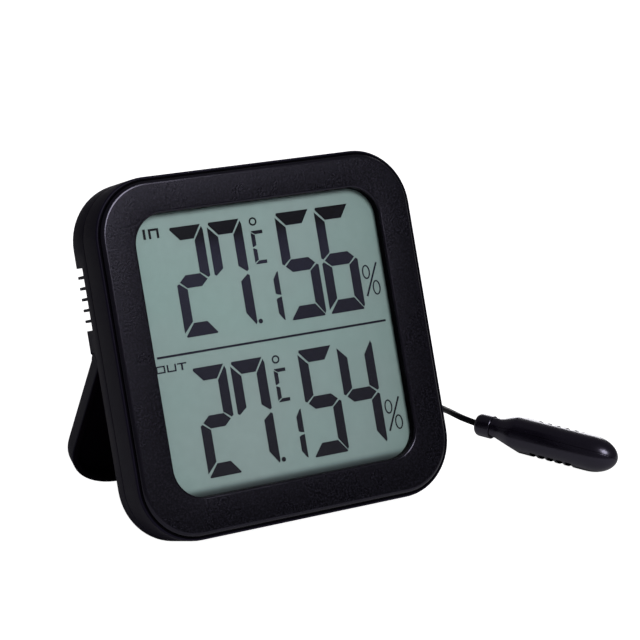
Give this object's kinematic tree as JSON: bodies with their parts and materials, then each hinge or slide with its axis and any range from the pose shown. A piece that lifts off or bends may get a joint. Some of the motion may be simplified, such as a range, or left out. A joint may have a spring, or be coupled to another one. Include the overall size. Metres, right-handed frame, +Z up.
{
  "type": "maximum minimum thermometer",
  "caption": "Square black digital indoor and outdoor thermo-hygrometer that leans on a folding rear kickstand, with a remote probe on a thin cable.",
  "frame": {"origin": "middle of the footprint of the case and its open stand, on the ground", "axes": "+Z up, the display faces -Y, +X to the right as seen from the front"},
  "size_m": [0.1636, 0.1331, 0.1035],
  "materials": {
    "bezel_black": "fine spark-textured black with polished edges",
    "case_black": "satin black moulding",
    "button_rubber": "matt black rubber",
    "cable_black": "matt black cable sheath, boot and tie",
    "probe_black": "semi-gloss black moulding",
    "window_clear": "clear moulded window",
    "display_grey": "grey-green liquid crystal display",
    "film_silver": "silver diffusing film",
    "white_plastic": "white moulding",
    "conductive_rubber": "striped conductive rubber",
    "board_green": "green printed circuit board",
    "epoxy_black": "glossy black resin",
    "steel_bright": "bright plated steel",
    "cell_jacket": "printed steel jacket, no marking"
  },
  "bodies": {
    "case": {"front_bezel": "bezel_black", "window_lens": "window_clear", "lcd_cell": "display_grey", "lcd_reflector_film": "film_silver", "lcd_holder": "white_plastic", "lcd_connector_strip": "conductive_rubber", "front_shell": "case_black", "main_board": "board_green", "chip_blob": "epoxy_black", "clock_crystal": "steel_bright", "indoor_humidity_sensor": "white_plastic", "indoor_thermistor": "epoxy_black", "tact_switch_1": "steel_bright", "tact_switch_2": "steel_bright", "tact_switch_3": "steel_bright", "board_screw_left": "steel_bright", "board_screw_right": "steel_bright", "battery_cell": "cell_jacket", "contact_spring": "steel_bright", "contact_plate": "steel_bright", "rear_cover": "case_black", "case_screw_left_upper": "steel_bright", "case_screw_left_lower": "steel_bright", "case_screw_right_upper": "steel_bright", "case_screw_right_lower": "steel_bright", "cable_gland": "cable_black", "cable_lead_case": "cable_black", "cable_coil": "cable_black", "coil_tie": "cable_black", "cable_lead_probe": "cable_black", "probe_gland": "probe_black", "probe_shell_upper": "probe_black", "probe_shell_lower": "probe_black", "probe_board": "board_green", "probe_humidity_sensor": "white_plastic", "probe_thermistor": "epoxy_black"},
    "stand": {"kickstand": "case_black", "hinge_pin_left": "steel_bright", "hinge_pin_right": "steel_bright"},
    "door": {"battery_door": "case_black"},
    "key_left": {"button_left": "button_rubber"},
    "key_middle": {"button_middle": "button_rubber"},
    "key_right": {"button_right": "button_rubber"}
  },
  "joints": [
    {"name": "stand_hinge", "type": "hinge", "parent": "case", "child": "stand", "pos_m": [0, 0.00361, 0.0508], "axis": [-1, 0, 0], "range_deg": [0, 50.5]},
    {"name": "door_hinge", "type": "hinge", "parent": "case", "child": "door", "pos_m": [0, 0.01082, 0.06256], "axis": [-1, 0, 0], "range_deg": [0, 80]},
    {"name": "key_left_press", "type": "slide", "parent": "case", "child": "key_left", "axis": [0, -0.9278, 0.3732], "range_m": [0, 0.0005], "stiffness_N_per_m": 400},
    {"name": "key_middle_press", "type": "slide", "parent": "case", "child": "key_middle", "axis": [0, -0.9278, 0.3732], "range_m": [0, 0.0005], "stiffness_N_per_m": 400},
    {"name": "key_right_press", "type": "slide", "parent": "case", "child": "key_right", "axis": [0, -0.9278, 0.3732], "range_m": [0, 0.0005], "stiffness_N_per_m": 400}
  ]
}
